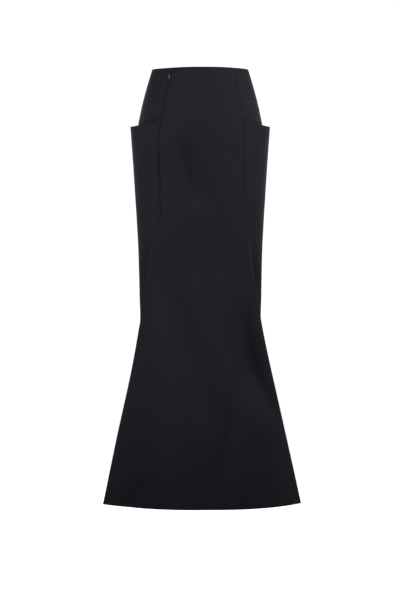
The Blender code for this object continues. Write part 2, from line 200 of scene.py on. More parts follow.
def panel_section(drop, share, face):
    """Depth at a share of the way to the seam: edge + (middle - edge) * (1 - share ** PANEL_POWER)."""
    seam, shift, middle, edge = panel_sizes(drop, face)
    depth = edge + (middle - edge) * (1 - np.abs(share) ** PANEL_POWER)
    return seam * share + shift, face * depth


def seam_point(drop, hand, face):
    """Where a princess seam lies. hand is 1 at the right and -1 at the left."""
    seam, shift, _, edge = panel_sizes(drop, face)
    return hand * seam + shift, face * edge


knee = np.array(KNEE_DROP)
print("a panel turns", round(float(np.degrees(panel_angle(knee, -1)))), "degrees at the knee")

# %% [markdown]
# ## Sections of the sides
#
# A side panel is the rest of the ring: a Bezier arc from the front seam to the middle of the side, and
# another from there to the back seam. In the flare it leaves the seam at a sharp angle, because the seam
# there is a folded edge that stands out.

# %% Sections of the sides


def side_reach(drop, hand, face, width):
    """From a seam to the middle of the side: how far out, and how far along."""
    x, y = seam_point(drop, hand, face)
    middle = (size("back_edge", drop) - size("front_edge", drop)) / 2
    return width - hand * x, np.abs(middle - y)


def side_angle(drop, hand, face, width):
    """The angle at which the side leaves the seam: a round arc's, and never less than the panel's own."""
    across, along = side_reach(drop, hand, face, width)
    arc = 2 * np.arctan2(along, across) - math.pi / 2
    return np.maximum(arc, panel_angle(drop, face))


def side_handle(drop, hand, face, width):
    """Length of the Bezier handles: that of a round arc with the same chord and turn."""
    across, along = side_reach(drop, hand, face, width)
    angle = side_angle(drop, hand, face, width)
    return np.hypot(across, along) / (3 * np.cos((math.pi / 2 - angle) / 4) ** 2)


def side_half(drop, t, hand, face, width):
    """Half of a side, a cubic Bezier from its seam at t = 0 to the middle of the side at t = 1.

    It is 3 t (1 - t) ** 2 of the seam's handle, 3 t ** 2 (1 - t) of the middle's and t ** 3 of its end.
    """
    x, y = seam_point(drop, hand, face)
    across, along = side_reach(drop, hand, face, width)
    angle = side_angle(drop, hand, face, width)
    handle = side_handle(drop, hand, face, width)
    near = 3 * t * (1 - t) ** 2
    far = 3 * t ** 2 * (1 - t)
    end = t ** 3
    out = near * handle * np.cos(angle) + far * across + end * across
    back = near * handle * np.sin(angle) + far * (along - handle) + end * along
    return x + hand * out, y - face * back


def side_section(drop, around, hand, width):
    """A side panel or yoke, from the front seam at around = -1 to the back seam at around = 1."""
    front_x, front_y = side_half(drop, np.clip(1 + around, 0, 1), hand, -1, width)
    back_x, back_y = side_half(drop, np.clip(1 - around, 0, 1), hand, 1, width)
    return np.where(around < 0, front_x, back_x), np.where(around < 0, front_y, back_y)


hem = np.array(LENGTH)
_, hem_along = side_reach(hem, 1, -1, pouch_side(hem))
print("at the hem the side's middle is", round(float(hem_along)), "mm behind its front seam")

# %% [markdown]
# ## Normals, and how it hangs
#
# Cloth has a thickness, and its seams and folds are sunk into it, so every section needs the direction that
# points straight out of it. Where two pieces meet they share one direction, halfway between their own, so
# that no gap opens between them. Last, the whole flare hangs turned, and swayed a few millimetres to the
# right.

# %% Normals, turn and sway
HEM_TURN = math.radians(4.2)
HEM_SWAY = 4.5
SWAY_POWER = 3


def outward(x, y, travel):
    """Unit normals of section lines: the step along the line, turned a quarter turn.

    travel is 1 or -1, for the way round that the line runs.
    """
    along_x = np.gradient(x, axis=1)
    along_y = np.gradient(y, axis=1)
    length = np.hypot(along_x, along_y)
    return travel * along_y / length, -travel * along_x / length


def seam_normal(drop, hand, face, width):
    """Halves the angle between two pieces at their seam, and is 1 / cos(half that angle) long."""
    panel = panel_angle(drop, face)
    side = side_angle(drop, hand, face, width)
    middle = (panel + side) / 2
    length = 1 / np.cos((side - panel) / 2)
    return hand * np.sin(middle) * length, face * np.cos(middle) * length


def hang(x, y, drop):
    """Flat sections as they hang: turned about the upright by the flare's growth, and swayed to the right."""
    turn = HEM_TURN * flare_growth(drop)
    sway = HEM_SWAY * (drop / LENGTH) ** SWAY_POWER
    turned_x = x * np.cos(turn) - y * np.sin(turn) + sway
    turned_y = x * np.sin(turn) + y * np.cos(turn)
    return np.stack(np.broadcast_arrays(turned_x, turned_y, -drop), axis=-1)


hem_x, hem_y = seam_point(hem, 1, -1)
print("right front seam at the hem:", hang(hem_x, hem_y, hem).round(1), "mm")

# %% [markdown]
# ## How cloth behaves at its edges
#
# A seam is where two pieces of cloth roll over and go inside. Seen from outside it is a narrow groove with
# round lips, in a slight ditch that the iron leaves. Inside, the turned-in edges lie open on each side of the
# seam, so the wall is two layers thick there. The waist, the pocket mouths and the hem are turned in too, and
# end in a round fold. A Bevel modifier would round the lips but make no ditch and no layers, so all of it is
# worked out from how far a point is from the edge.

# %% Rolled edges and two layers
CLOTH = 0.9
DOUBLE = 1.5
SEAM_ROLL = 1.2
ZIP_SEAM_ROLL = 1.5
ZIP_SEAM_ENDS = 225.0
ZIP_SEAM_BLEND = 15.0
SEAM_GAP = 0.03
ZIP_SEAM_GAP = 0.22
DITCH_DEPTH = 0.25
DITCH_REACH = 2.2
DITCH_ENDS = 430.0
DITCH_FADE = 60.0
CREST_ROLL = 0.5
RIDGE_INSIDE = 0.6
RIDGE_REACH = 1.6
TURNED_IN = 12.0
HEM_TURNED_UP = 40.0
MOUTH_TURNED_IN = 20.0
LAYER_EDGE = 0.35
NOT_TURNED = -LAYER_EDGE
NEVER_SHARP = 0.94


def roll(distance, radius):
    """How deep a round lip lies at a distance from its edge: radius - sqrt(radius ** 2 - inside ** 2).

    inside is radius - distance, held to NEVER_SHARP of the radius, so that the lip never ends upright.
    """
    inside = np.clip(radius - distance, 0, radius * NEVER_SHARP)
    return radius - np.sqrt(radius ** 2 - inside ** 2)


def over_zip(drop):
    """1 down to the zip's end, where the two lips of its seam only meet, and 0 below, where they are sewn."""
    return 1 - ease(drop, ZIP_SEAM_ENDS - ZIP_SEAM_BLEND, ZIP_SEAM_ENDS + ZIP_SEAM_BLEND)


def seam_gap(drop, is_zip_seam):
    """How far a lip stays from the seam line."""
    return SEAM_GAP + (ZIP_SEAM_GAP - SEAM_GAP) * over_zip(drop) * is_zip_seam


def seam_sink(distance, drop, is_zip_seam):
    """Depth of the outer face near a seam: its round lip, and a ditch, down to DITCH_ENDS.

    The ditch is DITCH_DEPTH * exp(-(distance / DITCH_REACH) ** 2). Below it the seam is a folded edge.
    """
    ends = ease(drop, DITCH_ENDS - DITCH_FADE, DITCH_ENDS)
    lip = SEAM_ROLL + (ZIP_SEAM_ROLL - SEAM_ROLL) * over_zip(drop) * is_zip_seam
    lip = lip + (CREST_ROLL - lip) * ends
    ditch = DITCH_DEPTH * (1 - ends)
    return roll(distance, lip) + ditch * np.exp(-(distance / DITCH_REACH) ** 2)


def layered(distance, turned):
    """1 where the cloth is turned in under itself, 0 past it, with a short step between."""
    return 1 - ease(distance, turned - LAYER_EDGE, turned + LAYER_EDGE)


def wall_depth(seam_distance, *rims):
    """Depth of the inner face: one layer, or two near a seam and near each (distance, turned) rim.

    Along the seam it has a low ridge too: RIDGE_INSIDE * exp(-(seam_distance / RIDGE_REACH) ** 2).
    """
    two = layered(seam_distance, TURNED_IN)
    for distance, turned in rims:
        two = np.maximum(two, layered(distance, turned))
    return CLOTH + (DOUBLE - CLOTH) * two + RIDGE_INSIDE * np.exp(-(seam_distance / RIDGE_REACH) ** 2)


def cloth_depths(folded, distance, drop, at_zip, *rims):
    """Depths of the two faces: folds, seams and layers, with each (distance, turned) rim made round."""
    rounded = sum(roll(from_rim, DOUBLE / 2) for from_rim, _ in rims)
    sunk = folded + seam_sink(distance, drop, at_zip) + rounded
    depth = folded + wall_depth(distance, *rims) - rounded
    return sunk, depth


print("a seam is", round(float(seam_sink(0.0, HIP_DROP, False)), 2), "mm deep at its bottom")

# %% [markdown]
# ## Folds
#
# Suiting this firm hangs in a few long soft hollows, not in many small creases. A cloth simulation would put
# them in places of its own, so they are listed one by one. Each one is a line down the cloth with a round
# hollow across it that fades in and out, and a negative depth makes it a swelling. The largest are in the
# frame already. They are repeated here along nearly the same lines, but deeper, because soft light shows only
# a deep hollow, and with softer ends, because a sudden end draws a line across the cloth. The smaller ones,
# and the broad swelling over the knees, are added.

# %% Folds as hollows along a line
FOLD_COLUMNS = ("top", "bottom", "late", "from_x", "to_x", "bow", "left_reach", "right_reach", "depth")
FRONT_FOLDS = np.array((
    (170, 382, 0.95, -45, 12, 0, 30, 20, 22.0),  # across the thighs
    (530, 896, 1.25, 128, 200, -30, 82, 13, 23.0),  # beside the right knee and into the flare
    (550, 850, 1.2, 119, 173, -10, 16, 8, 9.0),  # the steepest wall of that one
    (400, 945, 1.1, -108, 24, 0, 52, 30, 23.0),  # from the left thigh down to the middle
    (450, 880, 1, 5, 5, 0, 130, 130, -11.0),  # the swelling over the knees
    (415, 830, 1, 94, 100, 0, 52, 24, 6.0),  # upright, inside the right seam
    (830, 1210, 1, -2, 10, 0, 30, 30, 5.0),  # upright, down the middle to the hem
    (695, 1095, 0.75, 113, 24, 0, 16, 55, 9.5),  # from the right down to the middle of the flare
    (820, 1120, 1, 124, 132, 0, 26, 26, 3.5),  # low on the right
    (1015, 1165, 1, -148, -226, 0, 18, 18, 5.0),  # at the hem's left corner
    (178, 270, 1, 66, 94, 0, 13, 13, 2.4),  # small, on the right hip
    (715, 985, 1, -92, -92, 8, 19, 19, 3.0),  # upright, in the left of the flare
))
BACK_FOLDS = np.array((
    (176, 364, 1, 72, -24, -3, 24, 28, 14.0),
    (556, 890, 1.3, -101, -190, 5, 14, 60, 17.0),
    (430, 940, 1, 78, -14, 0, 32, 60, 15.0),
    (415, 830, 1, -92, -98, 0, 24, 50, 5.0),
    (770, 1090, 0.75, -92, -26, 0, 50, 18, 6.5),
    (830, 1200, 1, 118, 131, 0, 30, 30, 4.0),
    (740, 1000, 1, 84, 96, -6, 20, 20, 3.0),
    (24, 130, 1, 40, 30, 0, 22, 22, 1.5),
))
FOLD_FADE = 1.5


def hollow(t, late, away, near_reach, far_reach, deepest):
    """deepest * sin(pi * t ** late) ** FOLD_FADE * exp(-(away / reach) ** 2).

    t runs from 0 at the top of its line to 1 at the bottom. Each side of the line has its own reach. A late
    above 1 puts the deepest place lower down, and one below 1 higher up.
    """
    reach = np.where(away < 0, near_reach, far_reach)
    along = np.clip(np.sin(math.pi * t ** late), 0, 1) ** FOLD_FADE
    return deepest * along * np.exp(-(away / reach) ** 2)


def fold_depth(x, drop, folds):
    """Sum of the hollows of a panel. A line runs from from_x to to_x, bowed by 4 * bow * t * (1 - t)."""
    depth = np.zeros(np.broadcast(x, drop).shape)
    for row in folds:
        fold = dict(zip(FOLD_COLUMNS, row))
        t = np.clip((drop - fold["top"]) / (fold["bottom"] - fold["top"]), 0, 1)
        line = fold["from_x"] + (fold["to_x"] - fold["from_x"]) * t + fold["bow"] * 4 * t * (1 - t)
        slope = (fold["to_x"] - fold["from_x"]) / (fold["bottom"] - fold["top"])
        away = (x - line) * math.cos(math.atan(slope))
        reaches = (fold["left_reach"], fold["right_reach"])
        depth = depth + hollow(t, fold["late"], away, *reaches, fold["depth"])
    return depth


print("deepest fold:", FRONT_FOLDS[:, -1].max(), "mm")

# %% [markdown]
# ## Creases beside the seams
#
# A seam is stiffer than the cloth round it, so small creases start at it: puckers beside the zip, a dent
# below each pocket mouth, and round the knee a crest along the seam with a hollow beside it, where the cloth
# of the flare starts to spread. Both pieces share what lies on the seam, and the side alone has the rest. A
# place here is a distance from the seam.

# %% Creases beside the seams
SEAM_COLUMNS = ("top", "bottom", "from_away", "to_away", "near_reach", "far_reach", "depth")
SEAM_FOLDS = {
    "left front": (
        (-60, 300, 0, 0, 3.2, 3.2, 0.7),
        (184, 322, 0, 0, 9, 9, 5.6),
        (207, 237, 0, 0, 4, 4, 2.0),
        (220, 445, 0, 0, 4, 4, 1.6),
        (390, 640, 0, 0, 11, 11, -2.6),
        (640, 930, 0, 0, 30, 30, 1.6),
    ),
    "right front": (
        (-60, 200, 0, 0, 2.6, 2.6, 0.45),
        (200, 440, 0, 0, 2.6, 2.6, 0.35),
        (190, 330, 0, 0, 5, 5, 0.7),
        (340, 680, 0, 0, 11, 11, -2.6),
    ),
    "left back": (
        (-60, 440, 0, 0, 2.6, 2.6, 0.45),
        (200, 400, 0, 0, 8, 8, 2.4),
        (390, 680, 0, 0, 8, 8, -2.2),
        (640, 930, 0, 0, 30, 30, 1.6),
    ),
    "right back": (
        (-60, 440, 0, 0, 2.6, 2.6, 0.45),
        (240, 420, 0, 0, 8, 8, 1.8),
        (385, 670, 0, 0, 8, 8, -2.2),
    ),
}
SIDE_FOLDS = {
    "left front": (
        (30, 190, 5, 5, 2.6, 2.6, -0.4),
        (20, 150, 12, 12, 2.0, 2.0, -0.3),
        (196, 268, 18, 16, 8, 8, 4.2),
        (415, 690, 20, 13, 9, 20, 12.5),
    ),
    "right front": ((180, 330, 5, 5, 3, 3, -0.4), (425, 690, 18, 12, 8, 18, 12.0)),
    "left back": ((30, 300, 5, 5, 3, 3, -0.3), (420, 660, 20, 13, 9, 18, 8.0)),
    "right back": ((60, 330, 5, 5, 3, 3, -0.3), (410, 650, 21, 13, 9, 18, 8.0)),
}
SIDE_FOLDS_FROM = 5.0


def hollows_along(drop, away, folds):
    """Sum of the hollows beside a seam, and ridges where depth is negative. away is the distance from it."""
    depth = np.zeros(np.broadcast(drop, away).shape)
    for row in folds:
        fold = dict(zip(SEAM_COLUMNS, row))
        t = np.clip((drop - fold["top"]) / (fold["bottom"] - fold["top"]), 0, 1)
        line = fold["from_away"] + (fold["to_away"] - fold["from_away"]) * t
        reaches = (fold["near_reach"], fold["far_reach"])
        depth = depth + hollow(t, 1, away - line, *reaches, fold["depth"])
    return depth


def seam_depth(drop, away, seam, on_side):
    """Hollows that both pieces share at a seam, and on the side panel and yoke those of the side alone."""
    depth = hollows_along(drop, away, SEAM_FOLDS[seam])
    if on_side:
        depth = depth + hollows_along(drop, away, SIDE_FOLDS[seam]) * ease(away, 0, SIDE_FOLDS_FROM)
    return depth


print("creases beside the seams:", sum(len(rows) for rows in (*SEAM_FOLDS.values(), *SIDE_FOLDS.values())))

# %% [markdown]
# ## From grids to cloth
#
# A piece of cloth is two grids of points, its outer and its inner face, with rows down it and columns across.
# A Solidify modifier would give one grid the same thickness everywhere, and here the edges are two layers
# thick. Rows and columns are close together where the cloth rolls over and far apart where it is smooth. The
# grid also gives each point its place on the flat cut piece, which becomes the UV map, so that the weave
# follows the cloth.

# %% Rows, columns and the mesh
SEAM_STEPS = np.array((0, 0.1, 0.25, 0.45, 0.75, 1.2, 2.0, 3.2, 5.0, 8.0, 11.6, 12.4))
EDGE_STEPS = np.array((0, 0.05, 0.15, 0.3, 0.5, 0.8, 1.4, 2.6, 5.0))
MIDDLE_FROM = 17.0
ROW_STEP = 4.5
PANEL_MIDDLE = 72
SIDE_MIDDLE = 46
NORMAL_BLEND = 8.0
SMOOTH_ANGLE = math.radians(50)
FLAT_CLOTH = "flat_cloth"


def row_drops(top, bottom, top_turned, bottom_turned):
    """Drops of a piece's rows: near each turned edge as EDGE_STEPS and the step of the turned layer say."""
    above = top + np.append(EDGE_STEPS, (top_turned - LAYER_EDGE, top_turned + LAYER_EDGE))
    below = bottom - np.append(EDGE_STEPS, (bottom_turned - LAYER_EDGE, bottom_turned + LAYER_EDGE))[::-1]
    start = above[-1] + ROW_STEP
    end = below[0] - ROW_STEP
    middle = np.linspace(start, end, int((end - start) / ROW_STEP))
    return np.concatenate((above, middle, below))


def cloth_faces(outer, inner):
    """Faces of a closed mesh between two grids: the squares of both, and a rim that joins their borders.

    The inner grid's squares run the other way round. All are turned over if the middle one faces inwards.
    """
    rows, columns = outer.shape[:2]
    count = rows * columns
    grid = np.arange(count).reshape(rows, columns)
    squares = np.stack((grid[:-1, :-1], grid[1:, :-1], grid[1:, 1:], grid[:-1, 1:]), axis=-1).reshape(-1, 4)
    rim = np.concatenate((grid[0, :-1], grid[:-1, -1], grid[-1, :0:-1], grid[:0:-1, 0]))
    following = np.roll(rim, -1)
    rim_faces = np.stack((rim, following, following + count, rim + count), axis=-1)
    faces = np.concatenate((squares, squares[:, ::-1] + count, rim_faces))
    middle = squares[len(squares) // 2]
    a, b, _, d = outer.reshape(-1, 3)[middle]
    inwards = inner.reshape(-1, 3)[middle[0]] - a
    if np.dot(np.cross(b - a, d - a), inwards) > 0:
        return faces[:, ::-1]
    return faces


def cloth_mesh(name, outer, inner, across):
    """One closed mesh between two grids of points in millimetres, with its place on the flat cloth as UV map.

    That place is across in metres, and minus the length down the outer grid's column in metres.
    """
    faces = cloth_faces(outer, inner)
    points = np.concatenate((outer.reshape(-1, 3), inner.reshape(-1, 3))) * MM
    mesh = bpy.data.meshes.new(name)
    mesh.from_pydata(points.tolist(), [], faces.tolist())
    down = np.linalg.norm(np.diff(outer, axis=0), axis=-1)
    down = np.concatenate((np.zeros((1, outer.shape[1])), np.cumsum(down, axis=0)))
    flat = np.stack((across, -down), axis=-1).reshape(-1, 2) * MM
    flat = np.concatenate((flat, flat))
    layer = mesh.uv_layers.new(name=FLAT_CLOTH)
    layer.data.foreach_set("uv", flat[faces.ravel()].astype(np.float32).ravel())
    mesh.update()
    mesh.shade_smooth()
    mesh.set_sharp_from_angle(angle=SMOOTH_ANGLE)
    print(name, "has", len(mesh.polygons), "faces")
    return add_object(name, mesh)


def across_cloth(x, y):
    """Length along each section line from its middle column, in millimetres."""
    steps = np.hypot(np.diff(x, axis=1), np.diff(y, axis=1))
    run = np.concatenate((np.zeros((x.shape[0], 1)), np.cumsum(steps, axis=1)), axis=1)
    return run - run[:, [x.shape[1] // 2]]


def blend_normals(normal, edge_normals, distance):
    """Turns each piece's own normals to the shared seam normals within NORMAL_BLEND of its two seams."""
    columns = distance.shape[1]
    left_half = np.arange(columns)[None, :] < columns / 2
    share = ease(distance, 0, NORMAL_BLEND)
    blended = []
    for own, left, right in zip(normal, edge_normals[0], edge_normals[1]):
        shared = np.where(left_half, left, right)
        blended.append(shared * (1 - share) + own * share)
    return blended


def cloth_piece(name, x, y, normal, drop, sunk, depth):
    """Cloth along section lines, its faces sunk and depth millimetres in: point - normal * millimetres."""
    outer = hang(x - normal[0] * sunk, y - normal[1] * sunk, drop)
    inner = hang(x - normal[0] * depth, y - normal[1] * depth, drop)
    return cloth_mesh(name, outer, inner, across_cloth(x, y))


print("columns near each seam:", len(SEAM_STEPS), "and between them:", PANEL_MIDDLE, "or", SIDE_MIDDLE)

# %% [markdown]
# ## Front and back panels
#
# The two middle panels run from the waist to the hem, narrow at the waist and half a metre wide at the hem.
# Each is the arch of the section curves, sunk where a fold or a seam is, with its inner face behind it.

# %% Front and back panels
FOLD_EDGE_POWER = 8


def panel_shares(drop, face):
    """Shares across a panel: SEAM_STEPS millimetres from each seam, then evenly over the middle."""
    seam = panel_sizes(drop, face)[0]
    per_mm = np.cos(panel_angle(drop, face)) / seam
    left = (SEAM_STEPS[None, :] + seam_gap(drop, face < 0)) * per_mm
    right = (SEAM_STEPS[None, ::-1] + SEAM_GAP) * per_mm
    middle = np.linspace(-1, 1, PANEL_MIDDLE)[None, :] * (1 - MIDDLE_FROM * per_mm)
    share = np.concatenate((left - 1, middle, 1 - right), axis=1)
    return share, (1 - np.abs(share)) / per_mm


def panel_piece(name, face, folds):
    """A middle panel: its arch, sunk by its folds * (1 - share ** FOLD_EDGE_POWER) and by both seams."""
    drop = row_drops(0, LENGTH, TURNED_IN, HEM_TURNED_UP)[:, None]
    share, distance = panel_shares(drop, face)
    x, y = panel_section(drop, share, face)
    width = pouch_side(drop)
    edges = [seam_normal(drop, hand, face, width) for hand in (-1, 1)]
    normal = blend_normals(outward(x, y, -face), edges, distance)
    folded = fold_depth(x, drop, folds) * (1 - np.abs(share) ** FOLD_EDGE_POWER)
    end = " front" if face < 0 else " back"
    left, right = [seam_depth(drop, distance, side + end, False) for side in ("left", "right")]
    folded = folded + np.where(share < 0, left, right)
    rims = ((drop, TURNED_IN), (LENGTH - drop, HEM_TURNED_UP))
    sunk, depth = cloth_depths(folded, distance, drop, (share < 0) & (face < 0), *rims)
    return cloth_piece(name, x, y, normal, drop, sunk, depth)


front_panel_cloth = panel_piece("front_panel_cloth", -1, FRONT_FOLDS)
back_panel_cloth = panel_piece("back_panel_cloth", 1, BACK_FOLDS)

# %% [markdown]
# ## Side panels and hip yokes
#
# Each side panel starts in a curved edge, the pocket's mouth, which stands away from the hip like the rim of
# a bucket. Behind it the hip yoke goes on down from the waist to the bottom of the pocket. Both are bands of
# the same side sections, so they share the way that columns are placed round a side, and the way that a band
# turns into cloth.

# %% Places round a side
MOUTH_DROP = 145.2
MOUTH_RISE = 12.2
MOUTH_TOP = MOUTH_DROP - MOUTH_RISE
MOUTH_FLAT = 0.3
MOUTH_POWER = 1.25


def mouth_drop(around):
    """The mouth's edge: level over the middle, then up to the seams by MOUTH_RISE * share ** MOUTH_POWER."""
    rise = np.clip((np.abs(around) - MOUTH_FLAT) / (1 - MOUTH_FLAT), 0, 1)
    return MOUTH_DROP - MOUTH_RISE * rise ** MOUTH_POWER


def side_shares(drop, hand, width):
    """Places around a side: SEAM_STEPS millimetres from each seam, then evenly over the middle."""
    front = 1 / (3 * side_handle(drop, hand, -1, width))
    back = 1 / (3 * side_handle(drop, hand, 1, width))
    at_front = (SEAM_STEPS[None, :] + seam_gap(drop, hand < 0)) * front
    at_back = (SEAM_STEPS[None, ::-1] + SEAM_GAP) * back
    run = np.linspace(0, 1, SIDE_MIDDLE)[None, :]
    middle = (MIDDLE_FROM * front - 1) * (1 - run) + (1 - MIDDLE_FROM * back) * run
    around = np.concatenate((at_front - 1, middle, 1 - at_back), axis=1)
    return around, (1 - np.abs(around)) / np.where(around < 0, front, back)


def side_folds(drop, around, distance, hand):
    """Hollows beside the front seam over the front half, and beside the back seam over the back half."""
    side = "left" if hand < 0 else "right"
    front, back = [seam_depth(drop, distance, side + end, True) for end in (" front", " back")]
    return np.where(around < 0, front, back)


def side_cloth(name, drop, around, distance, hand, width, behind, *rims):
    """A side panel or yoke from its places, as far behind its section as behind says, and folded."""
    folded = behind + side_folds(drop, around, distance, hand)
    sunk, depth = cloth_depths(folded, distance, drop, (around < 0) & (hand < 0), *rims)
    x, y = side_section(drop, around, hand, width)
    seams = ((0, -1), (-1, 1))
    edges = [seam_normal(drop[:, [column]], hand, face, width[:, [column]]) for column, face in seams]
    normal = blend_normals(outward(x, y, hand), edges, distance)
    return cloth_piece(name, x, y, normal, drop, sunk, depth)


print("the pocket mouth is", round(float(mouth_drop(0.0)), 1), "mm down at its lowest")

# %% [markdown]
# ## The side panels
#
# The top edge of a side panel is the mouth, turned in. Its rows follow that curve at the top and are level
# again a little way down, so that no row is cut off by the curve.

# %% Side panels
MOUTH_FADE = 60.0


def side_panel_piece(name, hand):
    """Rows from the mouth to the hem, each lowered by the mouth's own drop times 1 - ease over MOUTH_FADE."""
    rows = row_drops(MOUTH_TOP, LENGTH, MOUTH_TURNED_IN, HEM_TURNED_UP)[:, None]
    around, distance = side_shares(rows, hand, pouch_side(rows))
    fade = 1 - ease(rows, MOUTH_TOP, MOUTH_TOP + MOUTH_FADE)
    drop = rows + (mouth_drop(around) - MOUTH_TOP) * fade
    rims = ((rows - MOUTH_TOP, MOUTH_TURNED_IN), (LENGTH - drop, HEM_TURNED_UP))
    return side_cloth(name, drop, around, distance, hand, pouch_side(drop), 0.0, *rims)


side_panel_cloths = [
    side_panel_piece("side_panel_left_cloth", -1),
    side_panel_piece("side_panel_right_cloth", 1),
]

# %% [markdown]
# ## The hip yokes
#
# Just above the mouth a yoke sinks a layer deeper, to pass behind the side panel, and the cloth dips a little
# more where the pocket pulls at it, most of all on the left. That dip is only a few millimetres wide, so the
# rows there are a millimetre apart: wider ones would draw it as a row of teeth.

# %% Hip yokes
FRAME_WALL = 1.5
LAYER_GAP = 0.4
MOUTH_STEP = 9.0
MOUTH_CLEAR = 1.0
MOUTH_DIP = {-1: 2.1, 1: 0.2}
MOUTH_DIP_REACH = 3.0
MOUTH_DIP_FROM_SEAM = 14.0
MOUTH_ROWS_ABOVE = 14.0
MOUTH_ROWS_BELOW = 6.0
MOUTH_ROW_STEP = 1.0


def yoke_rows():
    """The rows of any piece, with MOUTH_ROW_STEP between them near the mouth."""
    rows = row_drops(0, POCKET_BOTTOM, TURNED_IN, TURNED_IN)
    close = np.arange(MOUTH_TOP - MOUTH_ROWS_ABOVE, MOUTH_DROP + MOUTH_ROWS_BELOW, MOUTH_ROW_STEP)
    above = rows[rows < close[0] - MOUTH_ROW_STEP]
    below = rows[rows > close[-1] + MOUTH_ROW_STEP]
    return np.concatenate((above, close, below))[:, None]


def hip_yoke_piece(name, hand):
    """A yoke, behind its section by a layer's step and by MOUTH_DIP * exp(-(from mouth / reach) ** 2)."""
    rows = yoke_rows()
    around, distance = side_shares(rows, hand, size("side", rows))
    drop = rows + np.zeros(around.shape)
    mouth = mouth_drop(around)
    behind = (FRAME_WALL + LAYER_GAP) * ease(drop, mouth - MOUTH_STEP, mouth - MOUTH_CLEAR)
    dip = MOUTH_DIP[hand] * ease(distance, 0, MOUTH_DIP_FROM_SEAM)
    behind = behind + dip * np.exp(-((mouth - drop) / MOUTH_DIP_REACH) ** 2)
    rims = ((drop, TURNED_IN), (POCKET_BOTTOM - drop, NOT_TURNED))
    return side_cloth(name, drop, around, distance, hand, size("side", drop), behind, *rims)


hip_yoke_cloths = [
    hip_yoke_piece("hip_yoke_left_cloth", -1),
    hip_yoke_piece("hip_yoke_right_cloth", 1),
]

# %% [markdown]
# ## The zip behind the seam
#
# A concealed zip is sewn to the turned-in edges of its seam, so that from outside only the slider's tab
# shows. Inside there are two woven tapes with a coil of nylon between them. The tapes are narrow strips of
# the same sections as the cloth, a few millimetres from the seam and behind it.

# %% Zip tapes
TAPE_TOP = 1.0
TAPE_LENGTH = 210.0
TAPE_THICK = 0.55
TAPE_GAP = 0.5
TAPE_STEP = 18.0
TAPE_FROM = 1.6
TAPE_WIDTH = 12.0
TAPE_COLUMNS = 10
TAPE_ROW_STEP = 3.0


def tape_depth(drop):
    """Depth of the tapes' outer face: behind the cloth, and a layer deeper below the pocket mouth."""
    step = MOUTH_TOP - MOUTH_STEP
    return FRAME_WALL + TAPE_GAP + (FRAME_WALL + LAYER_GAP) * ease(drop, step - TAPE_STEP, step)


def tape_piece(name, on_panel):
    """One tape: the section curve at TAPE_FROM to TAPE_WIDTH millimetres from the seam, moved in."""
    drop = np.arange(TAPE_TOP, TAPE_LENGTH, TAPE_ROW_STEP)[:, None]
    away = np.linspace(TAPE_FROM, TAPE_WIDTH, TAPE_COLUMNS)[None, :]
    width = size("side", drop)
    if on_panel:
        per_mm = np.cos(panel_angle(drop, -1)) / panel_sizes(drop, -1)[0]
        x, y = panel_section(drop, away * per_mm - 1, -1)
        normal = outward(x, y, 1)
    else:
        x, y = side_half(drop, away / (3 * side_handle(drop, -1, -1, width)), -1, -1, width)
        normal = outward(x, y, -1)
    depth = tape_depth(drop) + seam_depth(drop, away, "left front", not on_panel)
    return cloth_piece(name, x, y, normal, drop, depth, depth + TAPE_THICK)


zip_tapes = [tape_piece("zip_tape_panel_side", True), tape_piece("zip_tape_yoke_side", False)]

# %% [markdown]
# ## The zip's coil
#
# The teeth of such a zip are one nylon wire, wound into a flattened helix between the tapes. A bevelled curve
# could draw it, but worked out as rings of points it is closed at its ends and has few faces. A thin round
# tube is carried along a curve that circles the seam line as it goes down. The same way of joining rings
# serves for the room later.

# %% Zip coil
COIL_TOP = 12.0
COIL_END = 205.0
COIL_PITCH = 1.15
COIL_WIDE = 1.7
COIL_DEEP = 0.75
COIL_WIRE = 0.3
COIL_TURN_POINTS = 12
COIL_SIDES = 6


def ring_faces(rings, sides):
    """Squares that join each ring of points to the next, then a face that fills each end's ring."""
    grid = np.arange(rings * sides).reshape(rings, sides)
    beside = np.roll(grid, -1, axis=1)
    squares = np.stack((grid[:-1], grid[1:], beside[1:], beside[:-1]), axis=-1).reshape(-1, 4)
    return squares.tolist() + [grid[0].tolist(), grid[-1, ::-1].tolist()]


def tube_points(line, radius, sides):
    """Rings of a tube round a line: line + radius * (side * cos(angle) + up * sin(angle))."""
    run = np.gradient(line, axis=0)
    run = run / np.linalg.norm(run, axis=1)[:, None]
    side = np.cross(run, (0.0, 0.0, 1.0))
    side = side / np.linalg.norm(side, axis=1)[:, None]
    up = np.cross(side, run)
    angle = np.linspace(0, 2 * math.pi, sides, endpoint=False)
    ring = side[:, None] * np.cos(angle)[None, :, None] + up[:, None] * np.sin(angle)[None, :, None]
    return line[:, None] + ring * radius


